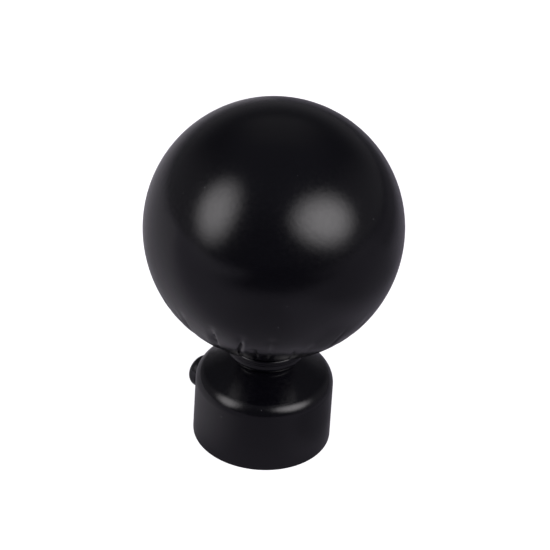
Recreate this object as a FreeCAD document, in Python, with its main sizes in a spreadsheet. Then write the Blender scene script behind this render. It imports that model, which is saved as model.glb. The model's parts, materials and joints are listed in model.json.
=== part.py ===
"""Ball finial for a curtain pole: a pressed steel ball on a drawn steel socket cup, with a clamp screw.

Millimetres, +Z up along the pole's axis. The origin is the centre of the socket's mouth, in the plane of
its rim, so the finial stands on that rim. -Y is the front, and the screw is at the back on the left.
"""
import FreeCAD, Part
import math
import os
import Sketcher

# Driving sizes in millimetres and degrees.
SIZES = {
    # Socket cup, drawn from one sheet: straight wall, bend, cone, crown and a tubular neck on top.
    "pole_diameter": 25.0,
    "pole_clearance": 0.1,
    "cup_sheet": 0.8,
    "shoulder_height": 13.8,
    "shoulder_bend": 3.4,
    "cone_slope": 33.0,
    "crown_radius": 5.6,
    "crown_bend": 0.6,
    "rim_round": 0.2,
    # Neck: a tube through the ball's mouth, its end flared over the ball's lip.
    "neck_radius": 4.6,
    "neck_play": 0.1,
    "flare_radius": 6.2,
    # Ball: a spherical upper half, a slightly longer lower half, a groove, and a short collar with a lip.
    "ball_sheet": 1.0,
    "globe_radius": 25.0,
    "lower_height": 24.7,
    "collar_radius": 7.6,
    "collar_height": 4.7,
    "collar_bend": 1.2,
    "gather_overhang": 0.4,
    "groove_depth": 0.5,
    "groove_width": 1.7,
    "bead_round": 0.45,
    # Gathers: creases that the sheet takes up as the ball's mouth is drawn in.
    "crease_sets": 7,
    "crease_reach": 2.0,
    "crease_half_width": 2.8,
    # Clamp screw: a pan head with a cross recess and a short shank.
    "screw_height": 4.7,
    "screw_azimuth": 136.5,
    "shank_radius": 2.0,
    "shank_length": 3.0,
    "tip_chamfer": 0.4,
    "tip_recess": 0.1,
    "thread_play": 0.05,
    "head_radius": 3.35,
    "head_height": 2.7,
    "head_edge": 1.0,
    "recess_span": 3.6,
    "recess_width": 1.0,
    "recess_depth": 1.5,
}

# Creases of one set: azimuth from the front, latitude below the equator where it starts, depth at the mouth.
CREASES = {
    "first": (-19.6, 22.0, 0.76),
    "second": (-6.2, 29.0, 0.68),
    "third": (1.8, 25.0, 0.72),
    "fourth": (16.5, 31.0, 0.65),
}

# Sizes that follow from the driving ones.
DERIVED = {
    "bore_radius": "pole_diameter / 2 + pole_clearance",
    "cup_radius": "bore_radius + cup_sheet",
    "cone_rise": "tan(cone_slope)",
    "seat_height": "shoulder_height + (cup_radius - crown_radius) * cone_rise",
    "inner_drop": "cup_sheet / cos(cone_slope)",
    "inner_shoulder": "shoulder_height + cup_sheet * cone_rise - inner_drop",
    "inner_crown": "cup_radius - (seat_height - cup_sheet - shoulder_height + inner_drop) / cone_rise",
    "neck_bore": "neck_radius - cup_sheet",
    "lip_top": "seat_height + ball_sheet",
    "mouth_height": "seat_height + collar_height",
    "mouth_radius": "collar_radius + gather_overhang",
    "groove_radius": "collar_radius - groove_depth",
    "bead_top": "mouth_height - groove_width",
    "equator_height": "mouth_height + lower_height",
    "draw_in": "globe_radius - mouth_radius",
    "lower_radius": "(lower_height ^ 2 + draw_in ^ 2) / (2 * draw_in)",
    "lower_offset": "lower_radius - globe_radius",
    "gather_angle": "acos((mouth_radius + lower_offset) / lower_radius) / (1 deg)",
    "throat_radius": "collar_radius - ball_sheet",
    "throat_drop": "sqrt((lower_radius - ball_sheet) ^ 2 - (throat_radius + lower_offset) ^ 2)",
    "throat_height": "equator_height - throat_drop",
    "shank_end": "bore_radius + tip_recess",
    "head_seat": "shank_end + shank_length",
}


def make_sheet(doc):
    """The sheet of sizes: each cell has the name of its size as alias."""
    sheet = doc.addObject("Spreadsheet::Sheet", "Sizes")
    rows = [(name, str(value)) for name, value in SIZES.items()]
    for crease, (azimuth, start, depth) in CREASES.items():
        rows.append((crease + "_azimuth", str(azimuth)))
        rows.append((crease + "_start", str(start)))
        rows.append((crease + "_depth", str(depth)))
    rows += [(name, "=" + formula) for name, formula in DERIVED.items()]
    for row, (name, content) in enumerate(rows, start=1):
        sheet.set("A%d" % row, name)
        sheet.set("B%d" % row, content)
        sheet.setAlias("B%d" % row, name)
    doc.recompute()
    return sheet


def new_body(doc, label):
    body = doc.addObject("PartDesign::Body", label)
    body.Label = label
    return body


def new_sketch(body, role, name):
    """A sketch on one of the body's own origin planes."""
    plane = next(feature for feature in body.Origin.OriginFeatures if feature.Role == role)
    sketch = body.newObject("Sketcher::SketchObject", name)
    sketch.AttachmentSupport = [(plane, "")]
    sketch.MapMode = "FlatFace"
    return sketch


def bind(sketch, kind, where, name, formula):
    """A dimension of the sketch that follows a formula of the sheet."""
    index = sketch.addConstraint(Sketcher.Constraint(kind, *where, sketch.evalExpression(formula)))
    sketch.renameConstraint(index, name)
    sketch.setExpression("Constraints." + name, formula)


def place_corner(sketch, edge, across, up):
    """Puts the start of an edge at its two distances from the origin, or on an axis where one is None."""
    for kind, axis, formula in (("DistanceX", -2, across), ("DistanceY", -1, up)):
        if formula is None:
            sketch.addConstraint(Sketcher.Constraint("PointOnObject", edge, 1, axis))
        else:
            bind(sketch, kind, (edge, 1), "%s_%d" % (kind, edge), formula)


def draw_outline(sketch, corners):
    """A closed outline of straight edges through corners, each a pair of formulas (None lies on an axis)."""
    points = []
    for corner in corners:
        across, up = (0.0 if formula is None else sketch.evalExpression(formula) for formula in corner)
        points.append(FreeCAD.Vector(across, up, 0))
    for start, end in zip(points, points[1:] + points[:1]):
        sketch.addGeometry(Part.LineSegment(start, end))
    for edge in range(len(corners)):
        following = (edge + 1) % len(corners)
        sketch.addConstraint(Sketcher.Constraint("Coincident", edge, 2, following, 1))
    for edge, (across, up) in enumerate(corners):
        place_corner(sketch, edge, across, up)


def draw_globe(sketch, radius, lower_radius, end_radius):
    """Half a section of the ball: a quarter circle above, a longer arc below, cut level at its end."""
    top = sketch.evalExpression(radius)
    low = sketch.evalExpression(lower_radius)
    equator = sketch.evalExpression("Sizes.equator_height")
    across = sketch.evalExpression(end_radius)
    angle = math.acos((across - top + low) / low)
    middle = FreeCAD.Vector(0, equator, 0)
    low_middle = FreeCAD.Vector(top - low, equator, 0)
    normal = FreeCAD.Vector(0, 0, 1)
    end = FreeCAD.Vector(across, equator - low * math.sin(angle), 0)
    foot = FreeCAD.Vector(0, end.y, 0)
    sketch.addGeometry(Part.ArcOfCircle(Part.Circle(middle, normal, top), 0, math.pi / 2))
    sketch.addGeometry(Part.ArcOfCircle(Part.Circle(low_middle, normal, low), -angle, 0))
    sketch.addGeometry(Part.LineSegment(end, foot))
    sketch.addGeometry(Part.LineSegment(foot, FreeCAD.Vector(0, equator + top, 0)))
    for constraint in (
        ("PointOnObject", 0, 3, -2),
        ("PointOnObject", 0, 2, -2),
        ("Tangent", 0, 1, 1, 2),
        ("Horizontal", 0, 3, 0, 1),
        ("Coincident", 1, 1, 2, 1),
        ("Coincident", 2, 2, 3, 1),
        ("Coincident", 3, 2, 0, 2),
        ("Horizontal", 2),
        ("Vertical", 3),
    ):
        sketch.addConstraint(Sketcher.Constraint(*constraint))
    bind(sketch, "Radius", (0,), "upper", radius)
    bind(sketch, "Radius", (1,), "lower", lower_radius)
    bind(sketch, "DistanceY", (0, 3), "equator", "Sizes.equator_height")
    bind(sketch, "DistanceX", (2, 1), "end", end_radius)


def spin(body, kind, sketch, name, axis="V_Axis"):
    """Revolves a sketch all round, as a Revolution or a Groove."""
    feature = body.newObject("PartDesign::" + kind, name)
    feature.Profile = sketch
    feature.ReferenceAxis = (sketch, [axis])
    feature.Angle = 360
    body.Document.recompute()
    return feature


def circle_edges(shape, radius, height):
    """Names of a shape's level circular edges of one radius at one height."""
    names = []
    for number, edge in enumerate(shape.Edges, start=1):
        if edge.Degenerated or not isinstance(edge.Curve, Part.Circle):
            continue
        if abs(edge.Curve.Radius - radius) + abs(edge.Curve.Center.z - height) < 1e-4:
            names.append("Edge%d" % number)
    return names


def round_edges(body, sheet, name, base, radius, rings):
    """Rounds the level circular edges that the pairs of sizes in rings give, to one radius of the sheet."""
    edges = []
    for ring_radius, ring_height in rings:
        edges += circle_edges(base.Shape, ring_radius, ring_height)
    fillet = body.newObject("PartDesign::Fillet", name)
    fillet.Base = (base, edges)
    fillet.Radius = sheet.evalExpression(radius)
    fillet.setExpression("Radius", radius)
    body.Document.recompute()
    return fillet


def make_socket_cup(doc, sheet):
    """Cup, cone, crown and flared neck drawn from one sheet, with the screw's hole through its wall."""
    body = new_body(doc, "socket_cup")
    section = new_sketch(body, "XZ_Plane", "CupSection")
    draw_outline(section, [
        ("Sizes.bore_radius", None),
        ("Sizes.cup_radius", None),
        ("Sizes.cup_radius", "Sizes.shoulder_height"),
        ("Sizes.crown_radius", "Sizes.seat_height"),
        ("Sizes.neck_radius", "Sizes.seat_height"),
        ("Sizes.neck_radius", "Sizes.lip_top"),
        ("Sizes.flare_radius", "Sizes.lip_top"),
        ("Sizes.flare_radius", "Sizes.lip_top + Sizes.cup_sheet"),
        ("Sizes.neck_bore", "Sizes.lip_top + Sizes.cup_sheet"),
        ("Sizes.neck_bore", "Sizes.seat_height - Sizes.cup_sheet"),
        ("Sizes.inner_crown", "Sizes.seat_height - Sizes.cup_sheet"),
        ("Sizes.bore_radius", "Sizes.inner_shoulder"),
    ])
    cup = spin(body, "Revolution", section, "Cup")

    outer = [(sheet.cup_radius, sheet.shoulder_height)]
    inner = [(sheet.bore_radius, sheet.inner_shoulder)]
    crown = [(sheet.crown_radius, sheet.seat_height)]
    flare = [(sheet.neck_bore, sheet.lip_top + sheet.cup_sheet)]
    rim = [(sheet.cup_radius, 0.0), (sheet.bore_radius, 0.0)]
    bend = round_edges(body, sheet, "OuterBend", cup, "Sizes.shoulder_bend", outer)
    bend = round_edges(body, sheet, "InnerBend", bend, "Sizes.shoulder_bend - Sizes.cup_sheet", inner)
    bend = round_edges(body, sheet, "CrownBend", bend, "Sizes.crown_bend", crown)
    bend = round_edges(body, sheet, "FlareBend", bend, "Sizes.crown_bend", flare)
    round_edges(body, sheet, "RimRound", bend, "Sizes.rim_round", rim)

    mouth = new_sketch(body, "YZ_Plane", "ScrewHoleCircle")
    mouth.AttachmentOffset = FreeCAD.Placement(
        FreeCAD.Vector(), FreeCAD.Rotation(FreeCAD.Vector(0, 1, 0), sheet.screw_azimuth))
    mouth.setExpression("AttachmentOffset.Rotation.Angle", "Sizes.screw_azimuth")
    middle = FreeCAD.Vector(0, sheet.screw_height, 0)
    mouth.addGeometry(Part.Circle(middle, FreeCAD.Vector(0, 0, 1), sheet.shank_radius))
    mouth.addConstraint(Sketcher.Constraint("PointOnObject", 0, 3, -2))
    bind(mouth, "DistanceY", (0, 3), "height", "Sizes.screw_height")
    bind(mouth, "Radius", (0,), "radius", "Sizes.shank_radius + Sizes.thread_play")
    hole = body.newObject("PartDesign::Pocket", "ScrewHole")
    hole.Profile = mouth
    hole.Reversed = True
    hole.setExpression("Length", "2 * Sizes.cup_radius")
    doc.recompute()
    return body


def add_creases(body, sheet, crease):
    """One crease, cut by a V-shaped ring set off the ball's lower arc, and its copies round the mouth.

    The ring's circle is the lower arc itself, moved so that it lies on the ball at the starting latitude,
    outside above it and ever deeper below it.
    """
    start = "Sizes.%s_start" % crease
    shift = "Sizes.%s_depth / sin(Sizes.gather_angle - %s)" % (crease, start)
    apex = "Sizes.globe_radius + %s * sin(%s)" % (shift, start)
    height = "Sizes.equator_height + %s * cos(%s)" % (shift, start)
    azimuth = "Sizes.%s_azimuth - 90" % crease

    section = new_sketch(body, "XY_Plane", crease.capitalize() + "CreaseSection")
    section.AttachmentOffset = FreeCAD.Placement(
        FreeCAD.Vector(0, 0, sheet.evalExpression(height)),
        FreeCAD.Rotation(FreeCAD.Vector(0, 0, 1), sheet.evalExpression(azimuth)))
    section.setExpression("AttachmentOffset.Base.z", height)
    section.setExpression("AttachmentOffset.Rotation.Angle", azimuth)
    tip = sheet.evalExpression(apex)
    base = tip + sheet.crease_reach
    half = sheet.crease_half_width
    centre = tip - sheet.lower_radius
    corners = [FreeCAD.Vector(tip, 0, 0), FreeCAD.Vector(base, -half, 0), FreeCAD.Vector(base, half, 0)]
    for begin, end in zip(corners, corners[1:] + corners[:1]):
        section.addGeometry(Part.LineSegment(begin, end))
    axis = Part.LineSegment(FreeCAD.Vector(centre, -half, 0), FreeCAD.Vector(centre, half, 0))
    section.addGeometry(axis, True)
    for constraint in (
        ("Coincident", 0, 2, 1, 1),
        ("Coincident", 1, 2, 2, 1),
        ("Coincident", 2, 2, 0, 1),
        ("PointOnObject", 0, 1, -1),
        ("Symmetric", 0, 2, 1, 2, -1),
        ("Symmetric", 3, 1, 3, 2, -1),
        ("Equal", 1, 3),
    ):
        section.addConstraint(Sketcher.Constraint(*constraint))
    bind(section, "DistanceX", (0, 1), "apex", apex)
    bind(section, "DistanceX", (0, 1, 0, 2), "reach", "Sizes.crease_reach")
    bind(section, "DistanceY", (1, 1, 1, 2), "width", "2 * Sizes.crease_half_width")
    bind(section, "DistanceX", (3, 1, 0, 1), "ring", "Sizes.lower_radius")

    groove = body.newObject("PartDesign::Groove", crease.capitalize() + "Crease")
    groove.Profile = section
    groove.ReferenceAxis = (section, ["Axis0"])
    groove.Angle = 90
    pattern = body.newObject("PartDesign::PolarPattern", crease.capitalize() + "Creases")
    pattern.Originals = [groove]
    vertical = next(feature for feature in body.Origin.OriginFeatures if feature.Role == "Z_Axis")
    pattern.Axis = (vertical, [""])
    pattern.Angle = 360
    pattern.Occurrences = int(sheet.crease_sets)
    pattern.setExpression("Occurrences", "Sizes.crease_sets")
    body.Tip = pattern
    body.Document.recompute()


def make_ball(doc, sheet):
    """Hollow ball: a globe creased towards its mouth, a groove, a beaded collar and a turned-in lip."""
    body = new_body(doc, "ball")
    globe = new_sketch(body, "XZ_Plane", "GlobeSection")
    draw_globe(globe, "Sizes.globe_radius", "Sizes.lower_radius", "Sizes.mouth_radius")
    spin(body, "Revolution", globe, "Globe")
    for crease in CREASES:
        add_creases(body, sheet, crease)

    collar = new_sketch(body, "XZ_Plane", "CollarSection")
    draw_outline(collar, [
        (None, "Sizes.seat_height"),
        ("Sizes.collar_radius", "Sizes.seat_height"),
        ("Sizes.collar_radius", "Sizes.bead_top"),
        ("Sizes.groove_radius", "Sizes.bead_top"),
        ("Sizes.groove_radius", "Sizes.mouth_height + Sizes.ball_sheet"),
        (None, "Sizes.mouth_height + Sizes.ball_sheet"),
    ])
    wall = spin(body, "Revolution", collar, "Collar")
    foot = [(sheet.collar_radius, sheet.seat_height)]
    bead = [(sheet.collar_radius, sheet.bead_top)]
    bend = round_edges(body, sheet, "CollarBend", wall, "Sizes.collar_bend", foot)
    round_edges(body, sheet, "CollarBead", bend, "Sizes.bead_round", bead)

    hollow = new_sketch(body, "XZ_Plane", "HollowSection")
    inner_radius = "Sizes.globe_radius - Sizes.ball_sheet"
    draw_globe(hollow, inner_radius, "Sizes.lower_radius - Sizes.ball_sheet", "Sizes.throat_radius")
    spin(body, "Groove", hollow, "Hollow")
    mouth = new_sketch(body, "XZ_Plane", "MouthSection")
    draw_outline(mouth, [
        (None, "Sizes.seat_height"),
        ("Sizes.neck_radius + Sizes.neck_play", "Sizes.seat_height"),
        ("Sizes.neck_radius + Sizes.neck_play", "Sizes.lip_top"),
        ("Sizes.throat_radius", "Sizes.lip_top"),
        ("Sizes.throat_radius", "Sizes.throat_height"),
        (None, "Sizes.throat_height"),
    ])
    spin(body, "Groove", mouth, "Mouth")
    return body


def make_set_screw(doc, sheet):
    """Pan-head clamp screw, drawn along X from the pole's axis outwards, then turned to its place."""
    body = new_body(doc, "set_screw")
    section = new_sketch(body, "XZ_Plane", "ScrewSection")
    draw_outline(section, [
        ("Sizes.shank_end", None),
        ("Sizes.shank_end", "Sizes.shank_radius - Sizes.tip_chamfer"),
        ("Sizes.shank_end + Sizes.tip_chamfer", "Sizes.shank_radius"),
        ("Sizes.head_seat", "Sizes.shank_radius"),
        ("Sizes.head_seat", "Sizes.head_radius"),
        ("Sizes.head_seat + Sizes.head_height", "Sizes.head_radius"),
        ("Sizes.head_seat + Sizes.head_height", None),
    ])
    blank = spin(body, "Revolution", section, "Blank", "H_Axis")

    crown = body.newObject("PartDesign::Fillet", "HeadCrown")
    edges = []
    for number, edge in enumerate(blank.Shape.Edges, start=1):
        outside = isinstance(edge.Curve, Part.Circle) and abs(edge.Curve.Radius - sheet.head_radius) < 1e-4
        if outside and abs(edge.Curve.Center.x - sheet.head_seat - sheet.head_height) < 1e-4:
            edges.append("Edge%d" % number)
    crown.Base = (blank, edges)
    crown.setExpression("Radius", "Sizes.head_height - Sizes.head_edge")
    doc.recompute()

    for name, across, up in (("CrossWide", "span", "width"), ("CrossTall", "width", "span")):
        slot = new_sketch(body, "YZ_Plane", name + "Slot")
        slot.AttachmentOffset = FreeCAD.Placement(
            FreeCAD.Vector(0, 0, sheet.head_seat + sheet.head_height), FreeCAD.Rotation())
        slot.setExpression("AttachmentOffset.Base.z", "Sizes.head_seat + Sizes.head_height")
        half = FreeCAD.Vector(getattr(sheet, "recess_" + across) / 2, getattr(sheet, "recess_" + up) / 2, 0)
        turns = ((-1, -1), (1, -1), (1, 1), (-1, 1))
        points = [FreeCAD.Vector(x * half.x, y * half.y, 0) for x, y in turns]
        for begin, end in zip(points, points[1:] + points[:1]):
            slot.addGeometry(Part.LineSegment(begin, end))
        for edge in range(4):
            slot.addConstraint(Sketcher.Constraint("Coincident", edge, 2, (edge + 1) % 4, 1))
        for constraint in (("Horizontal", 0), ("Horizontal", 2), ("Vertical", 1), ("Vertical", 3)):
            slot.addConstraint(Sketcher.Constraint(*constraint))
        slot.addConstraint(Sketcher.Constraint("Symmetric", 0, 1, 1, 2, -1, 1))
        bind(slot, "DistanceX", (0, 1, 0, 2), "across", "Sizes.recess_" + across)
        bind(slot, "DistanceY", (1, 1, 1, 2), "up", "Sizes.recess_" + up)
        cut = body.newObject("PartDesign::Pocket", name)
        cut.Profile = slot
        cut.setExpression("Length", "Sizes.recess_depth")
        doc.recompute()

    body.Placement = FreeCAD.Placement(
        FreeCAD.Vector(0, 0, sheet.screw_height),
        FreeCAD.Rotation(FreeCAD.Vector(0, 0, 1), sheet.screw_azimuth))
    body.setExpression("Placement.Base.z", "Sizes.screw_height")
    body.setExpression("Placement.Rotation.Angle", "Sizes.screw_azimuth")
    doc.recompute()
    return body


def check(doc, parts):
    """Stops the build where an object failed or a sub-part's shape isn't a single valid solid."""
    for item in doc.Objects:
        if "Invalid" in item.State or "Error" in item.State:
            raise RuntimeError("%s failed: %s" % (item.Name, item.State))
    for part in parts:
        shape = part.Shape
        if shape.isNull() or not shape.isValid() or len(shape.Solids) != 1:
            raise RuntimeError("%s is not one valid solid" % part.Label)


def main():
    doc = FreeCAD.newDocument("BallFinial")
    sheet = make_sheet(doc)
    parts = [make_socket_cup(doc, sheet), make_ball(doc, sheet), make_set_screw(doc, sheet)]
    doc.recompute()
    check(doc, parts)
    os.makedirs("parts", exist_ok=True)
    for part in parts:
        part.Shape.exportStep("parts/%s.step" % part.Label)
        box = part.Shape.BoundBox
        print("%s: volume %.1f, faces %d, x %.2f..%.2f, y %.2f..%.2f, z %.2f..%.2f" % (
            part.Label, part.Shape.Volume, len(part.Shape.Faces),
            box.XMin, box.XMax, box.YMin, box.YMax, box.ZMin, box.ZMax))


main()
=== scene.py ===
"""Looks of a black ball finial for a curtain pole: powder-coated ball and socket, and a black zinc screw.

Metres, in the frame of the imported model: +Z up along the pole's axis, -Y to the front.
"""

import json
import math
import random

import bmesh
import bpy
from mathutils import Matrix, Vector


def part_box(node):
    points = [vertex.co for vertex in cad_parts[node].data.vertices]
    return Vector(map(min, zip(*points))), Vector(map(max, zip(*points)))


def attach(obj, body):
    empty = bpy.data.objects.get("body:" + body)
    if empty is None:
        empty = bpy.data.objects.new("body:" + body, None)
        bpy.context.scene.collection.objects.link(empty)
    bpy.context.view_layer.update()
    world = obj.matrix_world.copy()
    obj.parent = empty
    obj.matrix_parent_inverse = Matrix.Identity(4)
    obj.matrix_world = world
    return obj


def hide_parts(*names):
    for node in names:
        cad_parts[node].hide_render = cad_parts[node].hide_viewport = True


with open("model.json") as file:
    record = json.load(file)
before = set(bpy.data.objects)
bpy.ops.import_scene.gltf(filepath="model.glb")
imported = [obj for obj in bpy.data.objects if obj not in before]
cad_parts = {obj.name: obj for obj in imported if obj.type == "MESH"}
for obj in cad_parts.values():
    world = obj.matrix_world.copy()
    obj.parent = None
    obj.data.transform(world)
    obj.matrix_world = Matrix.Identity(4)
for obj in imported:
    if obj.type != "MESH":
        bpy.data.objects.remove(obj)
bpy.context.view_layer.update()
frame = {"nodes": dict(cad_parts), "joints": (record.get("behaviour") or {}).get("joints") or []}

MM = 0.001
SHARP_ANGLE = 38.0

# Ball: sheet, lower half, collar and turned-in lip, sized as the solid is.
ARC_RADIUS = 26.4 * MM
BALL_SHEET = 1.0 * MM
LOWER_HEIGHT = 24.7 * MM
GATHER_OVERHANG = 0.4 * MM
COLLAR_RADIUS = 7.6 * MM
COLLAR_BEND = 1.2 * MM
GROOVE_DEPTH = 0.5 * MM
GROOVE_WIDTH = 1.7 * MM
BEAD_RADIUS = 0.45 * MM
LIP_RADIUS = 4.7 * MM

# Fine turned lines round the collar's wall. A line's half width is a share of the spacing.
LINE_COUNT = 2
LINE_FIRST = 0.25 * MM
LINE_SPACING = 0.40 * MM
LINE_DEPTH = 0.05 * MM
LINE_HALF_WIDTH = 0.3

# Rows of the ball's mesh.
UPPER_STEPS = 26
LOWER_STEPS = 88
BEND_STEPS = 6
INNER_STEPS = 12
SEGMENTS_PER_CREASE = 16

# Creases of one set: azimuth of the foot, latitude below the equator where it starts, depth, how far to the
# right of its foot it starts, and the width of its left flank. Angles are in degrees.
CREASE_SETS = 7
CREASES = (
    (-20.8, 22.5, 0.60 * MM, 9.5, 0.50 * MM),
    (-6.2, 32.0, 0.50 * MM, 1.0, 0.50 * MM),
    (1.8, 23.0, 0.30 * MM, 0.5, 0.50 * MM),
    (16.5, 32.0, 0.50 * MM, -2.0, 0.50 * MM),
    (-32.0, 22.0, 0.80 * MM, 5.5, 1.60 * MM),
)
# One more crease, at the front on the left.
FRONT_CREASE = (-50.0, 22.5, 0.60 * MM, 5.0, 1.2 * MM)
CREASE_WIDTH = 1.10 * MM
CREASE_RISE = 4.5
CREASE_EDGE = 1.3
CREASE_REACH = 4.0
RIGHT_FLANK = 0.72
PINCH_DEPTH = 0.10 * MM
PINCH_LENGTH = 1.0 * MM
PINCH_SLIMNESS = 1.2

# How much the sets differ: lowest and highest change, in degrees for angles and as a share for the rest.
# The front set keeps close to the values above.
CREASE_SEED = 1
FRONT_SPREAD = 0.2
AZIMUTH_SPREAD = (-0.8, 0.8)
START_SPREAD = (-1.0, 4.0)
DEPTH_SPREAD = (-0.70, 0.10)
DRIFT_SPREAD = (-2.0, 2.0)
WIDTH_SPREAD = (-0.2, 0.25)
PINCH_SPREAD = (-0.8, 0.4)

# Towards the mouth the whole sheet is drawn in, the creases fade and the inner skin stands further in.
# A span is the latitudes below the equator where the change begins and ends.
GATHER_PULL = 0.12 * MM
GATHER_SPAN = (32.0, 50.0)
FADE_SHARE = 0.60
FADE_SPAN = (30.0, 41.0)
GATHER_INSET = 0.9 * MM
INSET_SPAN = (18.0, 40.0)

# Clamp screw: thread, head and cross recess. The recess's foot is a share of its span and of its width.
THREAD_PITCH = 0.7 * MM
THREAD_DEPTH = 0.38 * MM
THREAD_STEEPNESS = 2.6
THREAD_ROOT = 0.25
SHANK_RADIUS = 2.0 * MM
SHANK_LENGTH = 3.0 * MM
TIP_CHAMFER = 0.4 * MM
HEAD_EDGE = 1.0 * MM
HEAD_CHAMFER = 0.12 * MM
RECESS_SPAN = 3.6 * MM
RECESS_WIDTH = 1.0 * MM
RECESS_DEPTH = 1.5 * MM
RECESS_FOOT = (0.22, 0.36)
CUT_CLEARANCE = 0.3 * MM
WELD_DISTANCE = 0.001 * MM
SCREW_SHARP_ANGLE = 35.0
SCREW_SEGMENTS = 64
THREAD_STEPS = 84
CROWN_STEPS = 12

# Coatings: their grain, clouds and dust. Clouds and dust are as many grains across as given here.
COAT_IOR = 1.5
PEEL_DETAIL = 1.5
CLOUD_GRAINS = 8
CLOUD_DETAIL = 4.0
TONE_SPREAD = (0.8, 1.25)
GLOSS_SPREAD = 0.03
GLOSS_SPAN = (0.3, 0.7)
DUST_GRAINS = 5
DUST_COLOUR = (0.10, 0.10, 0.105, 1)
SPECK_EDGE = (0.035, 0.02)

# Camera, fitted to the photograph: a long lens from the front, looking down, slightly turned.
IMAGE_SIZE = 550
SENSOR_WIDTH = 36.0
CAMERA_ELEVATION = 35.475
CAMERA_ROLL = 3.6
CAMERA_DISTANCE = 0.9
CLIP_START = 0.01
PIXELS_PER_METRE = 5192.4
TARGET = Vector((0, 0, 0.030))
TARGET_PIXEL = (269.04, 304.91)

# Two soft boxes in front, which fade from their middle to their edges.
BOX_DISTANCE = 0.85
SOFT_BOXES = {
    "key_box": {"azimuth": 53.5, "elevation": 32.5, "roll": -25.0, "size": (1.22, 0.86), "glow": 3.9},
    "fill_box": {"azimuth": -62.5, "elevation": 30.8, "roll": 14.0, "size": (0.77, 1.08), "glow": 3.3},
}
BOX_MIDDLE = (0.5, 0.5, 0)
BOX_FADE = (0.50, 0.08)
BOX_COLOUR = (1.0, 0.968, 0.99)

# Floor and room. The camera sees both as white. The floor's colour is painted light and shade, which the
# glossy coat
# mirrors: a dark painted shade with patches of painted light and of painted shadow near the cup. The room is
# a dim light with soft glows. A patch has borders, each an axis with the places where the patch is absent and
# where it is full.
FLOOR_SIZE = 3.0
FLOOR_DROP = 0.02 * MM
FLOOR_WHITE = 0.93
WHITE = (1, 1, 1, 1)
REFLECTED_SHARE = 0.015
FLOOR_PAINTED_SHADE = (0.05, 0.05, 0.055, 1)
FLOOR_PAINTED_LIGHT_AND_SHADOW = (
    # The first, second, third and sixth patches are painted light; the fourth, fifth and seventh, near the
    # cup's front, are painted shadow.
    ((("X", 0.10, 0.26), ("Y", -0.50, -0.10)), (0.24, 0.23, 0.26, 1)),
    ((("X", -0.06, -0.16), ("Y", -0.60, -0.20)), (0.52, 0.51, 0.57, 1)),
    ((("X", 0.20, 0.08), ("Y", -0.17, -0.08)), (0.48, 0.46, 0.53, 1)),
    ((("X", 0.045, 0.075), ("Y", 0.06, 0.02), ("Y", -0.17, -0.08)), (0.30, 0.29, 0.33, 1)),
    (
        (("Y", -0.010, -0.030), ("Y", -0.15, -0.07), ("X", 0.03, 0.005), ("X", -0.05, -0.01)),
        (0.36, 0.345, 0.395, 1),
    ),
    ((("X", -0.008, -0.022), ("Y", -0.04, 0.0)), (0.88, 0.86, 0.92, 1)),
    (
        (("X", 0.012, 0.020), ("X", 0.045, 0.030), ("Y", -0.03, -0.012), ("Y", 0.02, 0.0)),
        (0.28, 0.27, 0.31, 1),
    ),
)
ROOM_TONE = (0.045, 0.045, 0.051, 1)
ROOM_GLOWS = (
    ((("Z", 0.50, 0.98),), (0.10, 0.10, 0.115, 1)),
    ((("Y", 0.0, 0.6), ("Z", 0.45, 0.05)), (0.12, 0.116, 0.128, 1)),
    ((("Y", 0.25, 0.55), ("X", -0.5, -0.1), ("X", 0.5, 0.1), ("Z", 0.40, 0.62)), (0.15, 0.145, 0.155, 1)),
    ((("X", 0.60, 0.95),), (0.165, 0.16, 0.175, 1)),
    ((("X", -0.60, -0.95),), (0.165, 0.16, 0.175, 1)),
)


def mesh_piece(name, vertices, faces):
    """A smooth-shaded mesh object whose steep edges stay crisp."""
    mesh = bpy.data.meshes.new(name)
    mesh.from_pydata(vertices, [], faces)
    mesh.update()
    mesh.shade_smooth()
    mesh.set_sharp_from_angle(angle=math.radians(SHARP_ANGLE))
    piece = bpy.data.objects.new(name, mesh)
    bpy.context.scene.collection.objects.link(piece)
    return piece


def skin_rows(rows, segments, first_point, last_point):
    """Vertices and faces of closed rows of points, one after the other, with a point that closes each end."""
    vertices = [vertex for row in rows for vertex in row]
    faces = []
    for row in range(len(rows) - 1):
        for i in range(segments):
            a = row * segments + i
            b = row * segments + (i + 1) % segments
            faces.append((a, a + segments, b + segments, b))
    vertices.append(first_point)
    faces += [(len(vertices) - 1, i, (i + 1) % segments) for i in range(segments)]
    vertices.append(last_point)
    start = (len(rows) - 1) * segments
    faces += [(len(vertices) - 1, start + (i + 1) % segments, start + i) for i in range(segments)]
    return vertices, faces


def smooth_step(value, low, high):
    """0 below low, 1 above high, and a smooth rise between them."""
    share = min(1.0, max(0.0, (value - low) / (high - low)))
    return share * share * (3 - 2 * share)


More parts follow.
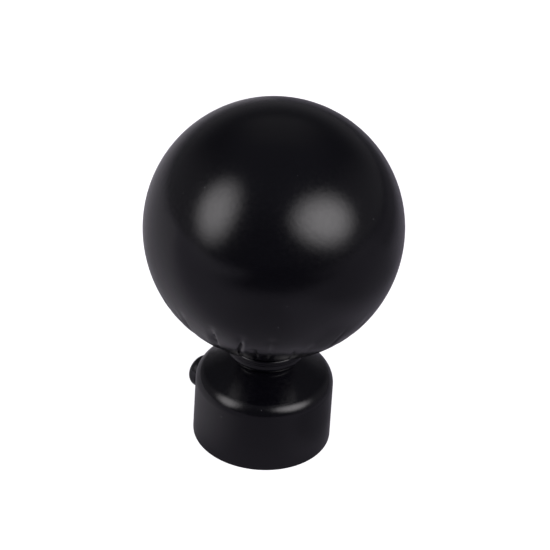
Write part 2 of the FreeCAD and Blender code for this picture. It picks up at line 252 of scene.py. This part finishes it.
class Crease:
    """One crease of the gathered mouth: where it runs, how deep it gets and how wide it is."""

    def __init__(self, azimuth, start, depth, drift, left_flank, draw, spread):
        self.azimuth = math.radians(azimuth + spread * draw.uniform(*AZIMUTH_SPREAD))
        self.start = math.radians(start + spread * draw.uniform(*START_SPREAD))
        self.depth = depth * (1 + spread * draw.uniform(*DEPTH_SPREAD))
        self.drift = math.radians(drift + spread * draw.uniform(*DRIFT_SPREAD))
        self.width = CREASE_WIDTH * (1 + spread * draw.uniform(*WIDTH_SPREAD))
        self.left_flank = left_flank * self.width / CREASE_WIDTH
        self.right_flank = RIGHT_FLANK * self.width
        self.pinch = PINCH_DEPTH * (1 + spread * draw.uniform(*PINCH_SPREAD))

    def pull(self, latitude, end, azimuth, radius):
        """How far the sheet is drawn in at a place on the ball's lower half."""
        run = max(0.0, (latitude - self.start) / (end - self.start))
        turn = azimuth - self.azimuth - self.drift * (1 - run)
        turn = (turn + math.pi) % (2 * math.pi) - math.pi
        across = abs(turn) * radius
        if across > CREASE_REACH * self.width:
            return 0.0
        along = (latitude - self.start) * ARC_RADIUS / PINCH_LENGTH
        dimple = self.pinch * math.exp(-along ** 2 - (PINCH_SLIMNESS * across / self.width) ** 2)
        flank = self.right_flank if turn > 0 else self.left_flank
        valley = max(0.0, 1 - across / flank) ** CREASE_EDGE
        rise = math.sin(min(1.0, CREASE_RISE * run) * math.pi / 2)
        return dimple + self.depth * rise * valley


def make_ball():
    """The ball's sheet, outside and inside, with its mouth gathered into the collar."""
    low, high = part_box("ball")
    radius = (high[0] - low[0]) / 2
    seat = low[2]
    equator = high[2] - radius
    mouth_radius = COLLAR_RADIUS + GATHER_OVERHANG
    draw_in = radius - mouth_radius
    lower_radius = (LOWER_HEIGHT ** 2 + draw_in ** 2) / (2 * draw_in)
    centre = radius - lower_radius
    gather = math.acos((mouth_radius - centre) / lower_radius)
    draw = random.Random(CREASE_SEED)
    creases = []
    for turn in range(CREASE_SETS):
        spread = FRONT_SPREAD if turn == 0 else 1.0
        for azimuth, *form in CREASES:
            creases.append(Crease(azimuth + 360.0 / CREASE_SETS * turn, *form, draw, spread))
    segments = len(creases) * SEGMENTS_PER_CREASE
    creases.append(Crease(*FRONT_CREASE, draw, 0.0))
    around = [2 * math.pi * i / segments for i in range(segments)]

    def ring(rho, z):
        """A plain ring round the pole's axis."""
        return [(rho * math.sin(azimuth), -rho * math.cos(azimuth), z) for azimuth in around]

    def gathered_ring(angle):
        """A ring of the lower arc, drawn in along its normal at the creases."""
        rho = centre + lower_radius * math.cos(angle)
        z = equator - lower_radius * math.sin(angle)
        drawn = GATHER_PULL * smooth_step(math.degrees(angle), *GATHER_SPAN)
        fade = 1 - FADE_SHARE * smooth_step(math.degrees(angle), *FADE_SPAN)
        points = []
        for azimuth in around:
            pull = drawn + fade * sum(crease.pull(angle, gather, azimuth, rho) for crease in creases)
            r = rho - pull * math.cos(angle)
            points.append((r * math.sin(azimuth), -r * math.cos(azimuth), z + pull * math.sin(angle)))
        return points

    rows = []
    for i in range(1, UPPER_STEPS):
        latitude = math.pi / 2 * (1 - i / UPPER_STEPS)
        rows.append(ring(radius * math.cos(latitude), equator + radius * math.sin(latitude)))
    for i in range(LOWER_STEPS + 1):
        rows.append(gathered_ring(gather * i / LOWER_STEPS))

    # The groove under the gathers, the collar's bead, its wall with turned lines and the bend at its foot.
    mouth = equator - LOWER_HEIGHT
    groove = COLLAR_RADIUS - GROOVE_DEPTH
    bead_top = mouth - GROOVE_WIDTH
    rows.append(ring(groove, mouth + GATHER_PULL))
    rows.append(ring(groove, bead_top))
    for i in range(BEND_STEPS + 1):
        turn = math.pi / 2 * i / BEND_STEPS
        rho = COLLAR_RADIUS - BEAD_RADIUS * (1 - math.sin(turn))
        rows.append(ring(rho, bead_top - BEAD_RADIUS * (1 - math.cos(turn))))
    wall_top = bead_top - BEAD_RADIUS
    wall_foot = seat + COLLAR_BEND
    for line in range(LINE_COUNT):
        for step, depth in ((-LINE_HALF_WIDTH, 0.0), (0.0, LINE_DEPTH), (LINE_HALF_WIDTH, 0.0)):
            rows.append(ring(COLLAR_RADIUS - depth, wall_top - LINE_FIRST - LINE_SPACING * (line + step)))
    rows.append(ring(COLLAR_RADIUS, wall_foot))
    for i in range(1, BEND_STEPS + 1):
        turn = math.pi / 2 * i / BEND_STEPS
        rho = COLLAR_RADIUS - COLLAR_BEND * (1 - math.cos(turn))
        rows.append(ring(rho, wall_foot - COLLAR_BEND * math.sin(turn)))

    # The lip, the throat and the inside of the ball.
    throat = COLLAR_RADIUS - BALL_SHEET
    inner_lower = lower_radius - BALL_SHEET
    inner_end = math.acos((throat - centre) / (inner_lower - GATHER_INSET))
    rows.append(ring(LIP_RADIUS, seat))
    rows.append(ring(LIP_RADIUS, seat + BALL_SHEET))
    rows.append(ring(throat, seat + BALL_SHEET))
    for i in range(INNER_STEPS + 1):
        angle = inner_end * (1 - i / INNER_STEPS)
        across = inner_lower - GATHER_INSET * smooth_step(math.degrees(angle), *INSET_SPAN)
        rows.append(ring(centre + across * math.cos(angle), equator - across * math.sin(angle)))
    inner = radius - BALL_SHEET
    for i in range(1, INNER_STEPS):
        latitude = math.pi / 2 * i / INNER_STEPS
        rows.append(ring(inner * math.cos(latitude), equator + inner * math.sin(latitude)))
    vertices, faces = skin_rows(rows, segments, (0, 0, equator + radius), (0, 0, equator + inner))
    return mesh_piece("ball_skin", vertices, faces)


def thread_radius(along, angle):
    """Radius of the thread at a place along the shank: a ridge with sloping sides, tapered at the tip."""
    phase = (along / THREAD_PITCH - angle / (2 * math.pi)) % 1.0
    ridge = min(1.0, max(0.0, (0.5 - abs(phase - 0.5)) * THREAD_STEEPNESS - THREAD_ROOT))
    crest = min(SHANK_RADIUS, SHANK_RADIUS - TIP_CHAMFER + along)
    return min(crest, SHANK_RADIUS - THREAD_DEPTH * (1 - ridge))


def cut_recess(screw, top):
    """Cuts a tapered cross recess out of the screw's head, and gives the screw's new mesh."""
    cutter_mesh = bpy.data.meshes.new("recess_cutter")
    cutter_form = bmesh.new()
    for quarter in range(2):
        spin = Matrix.Rotation(quarter * math.pi / 2, 4, "Z")
        lower = []
        upper = []
        for x, y in ((-1, -1), (1, -1), (1, 1), (-1, 1)):
            foot_x = x * RECESS_SPAN * RECESS_FOOT[0]
            foot_y = y * RECESS_WIDTH * RECESS_FOOT[1]
            foot = Vector((foot_x, foot_y, top - RECESS_DEPTH))
            mouth = Vector((x * RECESS_SPAN / 2, y * RECESS_WIDTH / 2, top + CUT_CLEARANCE))
            lower.append(cutter_form.verts.new(spin @ foot))
            upper.append(cutter_form.verts.new(spin @ mouth))
        cutter_form.faces.new(lower[::-1])
        cutter_form.faces.new(upper)
        for i in range(4):
            k = (i + 1) % 4
            cutter_form.faces.new((lower[i], lower[k], upper[k], upper[i]))
    cutter_form.to_mesh(cutter_mesh)
    cutter_form.free()
    cutter = bpy.data.objects.new("recess_cutter", cutter_mesh)
    bpy.context.scene.collection.objects.link(cutter)
    cut = screw.modifiers.new("recess", "BOOLEAN")
    cut.operation = "DIFFERENCE"
    cut.solver = "EXACT"
    cut.use_self = True
    cut.object = cutter
    bpy.context.view_layer.update()
    shaped = bpy.data.meshes.new_from_object(screw.evaluated_get(bpy.context.evaluated_depsgraph_get()))
    screw.modifiers.clear()
    screw.data = shaped
    bpy.data.objects.remove(cutter)

    # Points of the cut that fall together become one.
    welded = bmesh.new()
    welded.from_mesh(shaped)
    bmesh.ops.remove_doubles(welded, verts=welded.verts, dist=WELD_DISTANCE)
    welded.to_mesh(shaped)
    welded.free()
    return shaped


def make_screw():
    """Pan-head screw with a rolled thread and a cross recess, along its own axis outwards."""
    node = frame["nodes"]["set_screw"]
    axis = Vector(frame["joints"][0]["axis"]).normalized()
    low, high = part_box("set_screw")
    height = (low[2] + high[2]) / 2
    head_radius = (high[2] - low[2]) / 2
    reach = [axis.dot(vertex.co) for vertex in node.data.vertices]
    tip = min(reach)
    top = max(reach)
    head_seat = tip + SHANK_LENGTH
    around = [2 * math.pi * i / SCREW_SEGMENTS for i in range(SCREW_SEGMENTS)]

    rows = []
    for i in range(THREAD_STEPS + 1):
        along = SHANK_LENGTH * i / THREAD_STEPS
        radii = [thread_radius(along, angle) for angle in around]
        rows.append([(r * math.cos(a), r * math.sin(a), tip + along) for r, a in zip(radii, around)])
    edge_top = head_seat + HEAD_EDGE
    profile = [
        (head_radius - HEAD_CHAMFER, head_seat),
        (head_radius, head_seat + HEAD_CHAMFER),
        (head_radius, edge_top),
    ]
    crown = top - head_seat - HEAD_EDGE
    for i in range(1, CROWN_STEPS + 1):
        turn = math.pi / 2 * i / CROWN_STEPS
        profile.append((head_radius - crown * (1 - math.cos(turn)), edge_top + crown * math.sin(turn)))
    rows += [[(r * math.cos(a), r * math.sin(a), z) for a in around] for r, z in profile]
    vertices, faces = skin_rows(rows, SCREW_SEGMENTS, (0, 0, tip), (0, 0, top))
    screw = mesh_piece("screw_piece", vertices, faces)
    shaped = cut_recess(screw, top)

    upward = Vector((0, 0, 1))
    turned = Matrix((upward.cross(axis), upward, axis)).transposed().to_4x4()
    shaped.transform(Matrix.Translation((0, 0, height)) @ turned)
    shaped.shade_smooth()
    shaped.set_sharp_from_angle(angle=math.radians(SCREW_SHARP_ANGLE))
    return screw


def link(tree, source, output, target, socket):
    """Joins an output of one node to a socket of another."""
    tree.links.new(source.outputs[output], target.inputs[socket])


def coated_metal(name, colour, roughness, grain, bump_depth, metallic):
    """Dark coating with a fine grain: mottled colour and gloss, orange peel and a few dust specks."""
    material = bpy.data.materials.new(name)
    material.use_nodes = True
    tree = material.node_tree
    shader = tree.nodes["Principled BSDF"]
    shader.inputs["Metallic"].default_value = metallic
    shader.inputs["IOR"].default_value = COAT_IOR
    place = tree.nodes.new("ShaderNodeTexCoord")

    peel = tree.nodes.new("ShaderNodeTexNoise")
    peel.inputs["Scale"].default_value = 1 / grain
    peel.inputs["Detail"].default_value = PEEL_DETAIL
    link(tree, place, "Object", peel, "Vector")
    cloud = tree.nodes.new("ShaderNodeTexNoise")
    cloud.inputs["Scale"].default_value = 1 / (CLOUD_GRAINS * grain)
    cloud.inputs["Detail"].default_value = CLOUD_DETAIL
    link(tree, place, "Object", cloud, "Vector")

    darker, lighter = TONE_SPREAD
    tone = tree.nodes.new("ShaderNodeMix")
    tone.data_type = "RGBA"
    tone.inputs["A"].default_value = (*[darker * c for c in colour], 1)
    tone.inputs["B"].default_value = (*[lighter * c for c in colour], 1)
    link(tree, cloud, "Fac", tone, "Factor")
    dust = tree.nodes.new("ShaderNodeTexVoronoi")
    dust.inputs["Scale"].default_value = 1 / (DUST_GRAINS * grain)
    link(tree, place, "Object", dust, "Vector")
    speck = tree.nodes.new("ShaderNodeMapRange")
    speck.inputs["From Min"].default_value, speck.inputs["From Max"].default_value = SPECK_EDGE
    link(tree, dust, "Distance", speck, "Value")
    dusty = tree.nodes.new("ShaderNodeMix")
    dusty.data_type = "RGBA"
    dusty.inputs["B"].default_value = DUST_COLOUR
    link(tree, speck, "Result", dusty, "Factor")
    link(tree, tone, "Result", dusty, "A")
    link(tree, dusty, "Result", shader, "Base Color")

    gloss = tree.nodes.new("ShaderNodeMapRange")
    gloss.inputs["From Min"].default_value, gloss.inputs["From Max"].default_value = GLOSS_SPAN
    gloss.inputs["To Min"].default_value = roughness - GLOSS_SPREAD
    gloss.inputs["To Max"].default_value = roughness + GLOSS_SPREAD
    link(tree, peel, "Fac", gloss, "Value")
    link(tree, gloss, "Result", shader, "Roughness")

    bump = tree.nodes.new("ShaderNodeBump")
    bump.inputs["Strength"].default_value = 1.0
    bump.inputs["Distance"].default_value = bump_depth
    link(tree, peel, "Fac", bump, "Height")
    link(tree, bump, "Normal", shader, "Normal")
    return material


def paint(piece, material):
    """Gives all of a piece one material."""
    piece.data.materials.clear()
    piece.data.materials.append(material)


def direction(azimuth, elevation):
    """Unit vector from the object, by degrees from the front towards the right and above the floor."""
    side = math.radians(azimuth)
    rise = math.radians(elevation)
    return Vector((math.sin(side) * math.cos(rise), -math.cos(side) * math.cos(rise), math.sin(rise)))


def soft_box(name, azimuth, elevation, roll, size, glow):
    """A soft box that faces the object, rolled about the line to it, and faded towards its edges."""
    lamp = bpy.data.lights.new(name, "AREA")
    lamp.shape = "RECTANGLE"
    lamp.size, lamp.size_y = size
    lamp.energy = math.pi * size[0] * size[1] * glow
    lamp.color = BOX_COLOUR
    lamp.use_nodes = True
    tree = lamp.node_tree
    place = tree.nodes.new("ShaderNodeNewGeometry")
    offset = tree.nodes.new("ShaderNodeVectorMath")
    offset.operation = "DISTANCE"
    offset.inputs[1].default_value = BOX_MIDDLE
    link(tree, place, "Parametric", offset, 0)
    fade = tree.nodes.new("ShaderNodeMapRange")
    fade.interpolation_type = "SMOOTHSTEP"
    fade.inputs["From Min"].default_value, fade.inputs["From Max"].default_value = BOX_FADE
    link(tree, offset, "Value", fade, "Value")
    link(tree, fade, "Result", tree.nodes["Emission"], "Strength")

    box = bpy.data.objects.new(name, lamp)
    away = direction(azimuth, elevation)
    across = Vector((0, 0, 1)).cross(away).normalized()
    facing = Matrix((across, away.cross(across), away)).transposed()
    pose = facing @ Matrix.Rotation(math.radians(roll), 3, "Z")
    box.matrix_world = Matrix.Translation(TARGET + BOX_DISTANCE * away) @ pose.to_4x4()
    bpy.context.scene.collection.objects.link(box)


def blend(tree, coordinate, tone, patches, target):
    """A tone with softly bordered patches over it, put into a shader's colour.

    Each patch comes in as a coordinate goes from its first border to its second.
    """
    place = tree.nodes.new("ShaderNodeTexCoord")
    parts = tree.nodes.new("ShaderNodeSeparateXYZ")
    link(tree, place, coordinate, parts, "Vector")
    under = None
    for borders, patch_tone in patches:
        mix = tree.nodes.new("ShaderNodeMix")
        mix.data_type = "RGBA"
        mix.inputs["A"].default_value = tone
        mix.inputs["B"].default_value = patch_tone
        inside = None
        for axis, none, full in borders:
            border = tree.nodes.new("ShaderNodeMapRange")
            border.interpolation_type = "SMOOTHSTEP"
            border.inputs["From Min"].default_value = none
            border.inputs["From Max"].default_value = full
            link(tree, parts, axis, border, "Value")
            if inside:
                link(tree, inside, "Result", border, "To Max")
            inside = border
        link(tree, inside, "Result", mix, "Factor")
        if under:
            link(tree, under, "Result", mix, "A")
        under = mix
    link(tree, under, "Result", target, "Color")


def backdrop_share(tree):
    """How much of the white backdrop a ray sees.

    From the camera or through glass it is all of it, and in a reflection a little.
    """
    path = tree.nodes.new("ShaderNodeLightPath")
    reflected = tree.nodes.new("ShaderNodeMath")
    reflected.operation = "MULTIPLY_ADD"
    reflected.inputs[1].default_value = REFLECTED_SHARE
    link(tree, path, "Is Glossy Ray", reflected, 0)
    link(tree, path, "Is Camera Ray", reflected, 2)
    seen = tree.nodes.new("ShaderNodeMath")
    seen.operation = "ADD"
    seen.use_clamp = True
    link(tree, path, "Is Transmission Ray", seen, 0)
    link(tree, reflected, "Value", seen, 1)
    return seen


def make_floor():
    """Floor with painted light and shade in its colour, which also takes real light and shadow; white is
    added where the camera sees it.
    """
    half = FLOOR_SIZE / 2
    corners = [(x * half, y * half, -FLOOR_DROP) for x, y in ((-1, -1), (1, -1), (1, 1), (-1, 1))]
    floor = mesh_piece("floor", corners, [(0, 1, 2, 3)])
    material = bpy.data.materials.new("floor_white_and_painted_light")
    material.use_nodes = True
    tree = material.node_tree
    tree.nodes.clear()
    out = tree.nodes.new("ShaderNodeOutputMaterial")
    matt = tree.nodes.new("ShaderNodeBsdfDiffuse")
    # Its colour is painted: a dark painted shade with patches of painted light and of painted shadow.
    blend(tree, "Object", FLOOR_PAINTED_SHADE, FLOOR_PAINTED_LIGHT_AND_SHADOW, matt)
    glow = tree.nodes.new("ShaderNodeEmission")
    both = tree.nodes.new("ShaderNodeAddShader")
    white = tree.nodes.new("ShaderNodeMath")
    white.operation = "MULTIPLY"
    white.inputs[1].default_value = FLOOR_WHITE
    link(tree, backdrop_share(tree), "Value", white, 0)
    link(tree, white, "Value", glow, "Strength")
    link(tree, matt, "BSDF", both, 0)
    link(tree, glow, "Emission", both, 1)
    link(tree, both, "Shader", out, "Surface")
    paint(floor, material)


def make_world():
    """Dim studio round the object, with soft glows; white where the camera looks past the floor."""
    world = bpy.data.worlds.new("studio")
    world.use_nodes = True
    tree = world.node_tree
    tree.nodes.clear()
    out = tree.nodes.new("ShaderNodeOutputWorld")
    room = tree.nodes.new("ShaderNodeBackground")
    blend(tree, "Generated", ROOM_TONE, ROOM_GLOWS, room)
    white = tree.nodes.new("ShaderNodeBackground")
    white.inputs["Color"].default_value = WHITE
    mix = tree.nodes.new("ShaderNodeMixShader")
    link(tree, backdrop_share(tree), "Value", mix, "Fac")
    link(tree, room, "Background", mix, 1)
    link(tree, white, "Background", mix, 2)
    link(tree, mix, "Shader", out, "Surface")
    bpy.context.scene.world = world


def make_camera():
    """The photograph's view: the target falls on its pixel, with no lens shift."""
    rise = math.radians(CAMERA_ELEVATION)
    roll = math.radians(CAMERA_ROLL)
    back = Vector((0, -math.cos(rise), math.sin(rise)))
    level = Vector((1, 0, 0))
    up = Vector((0, math.sin(rise), math.cos(rise)))
    right = math.cos(roll) * level + math.sin(roll) * up
    upward = -math.sin(roll) * level + math.cos(roll) * up
    middle = IMAGE_SIZE / 2
    aside = (middle - TARGET_PIXEL[0]) * right
    above = (TARGET_PIXEL[1] - middle) * upward
    aim = TARGET + (aside + above) / PIXELS_PER_METRE
    data = bpy.data.cameras.new("camera")
    data.sensor_width = SENSOR_WIDTH
    data.lens = PIXELS_PER_METRE * CAMERA_DISTANCE * SENSOR_WIDTH / IMAGE_SIZE
    data.clip_start = CLIP_START
    camera = bpy.data.objects.new("camera", data)
    pose = Matrix((right, upward, back)).transposed().to_4x4()
    pose.translation = aim + CAMERA_DISTANCE * back
    camera.matrix_world = pose
    bpy.context.scene.collection.objects.link(camera)
    bpy.context.scene.camera = camera


powder_coat = coated_metal(
    "powder_coat",
    colour=(0.0020, 0.0018, 0.0038),
    roughness=0.20,
    grain=0.80 * MM,
    bump_depth=0.010 * MM,
    metallic=0.0,
)
black_zinc = coated_metal(
    "black_zinc",
    colour=(0.07, 0.07, 0.074),
    roughness=0.19,
    grain=0.18 * MM,
    bump_depth=0.003 * MM,
    metallic=1.0,
)

ball = make_ball()
paint(ball, powder_coat)
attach(ball, "finial")
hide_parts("ball")

paint(frame["nodes"]["socket_cup"], powder_coat)

screw = make_screw()
paint(screw, black_zinc)
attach(screw, "screw")
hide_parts("set_screw")

make_floor()
make_world()
for name, box in SOFT_BOXES.items():
    soft_box(name, **box)
make_camera()
bpy.context.scene.view_settings.view_transform = "Standard"
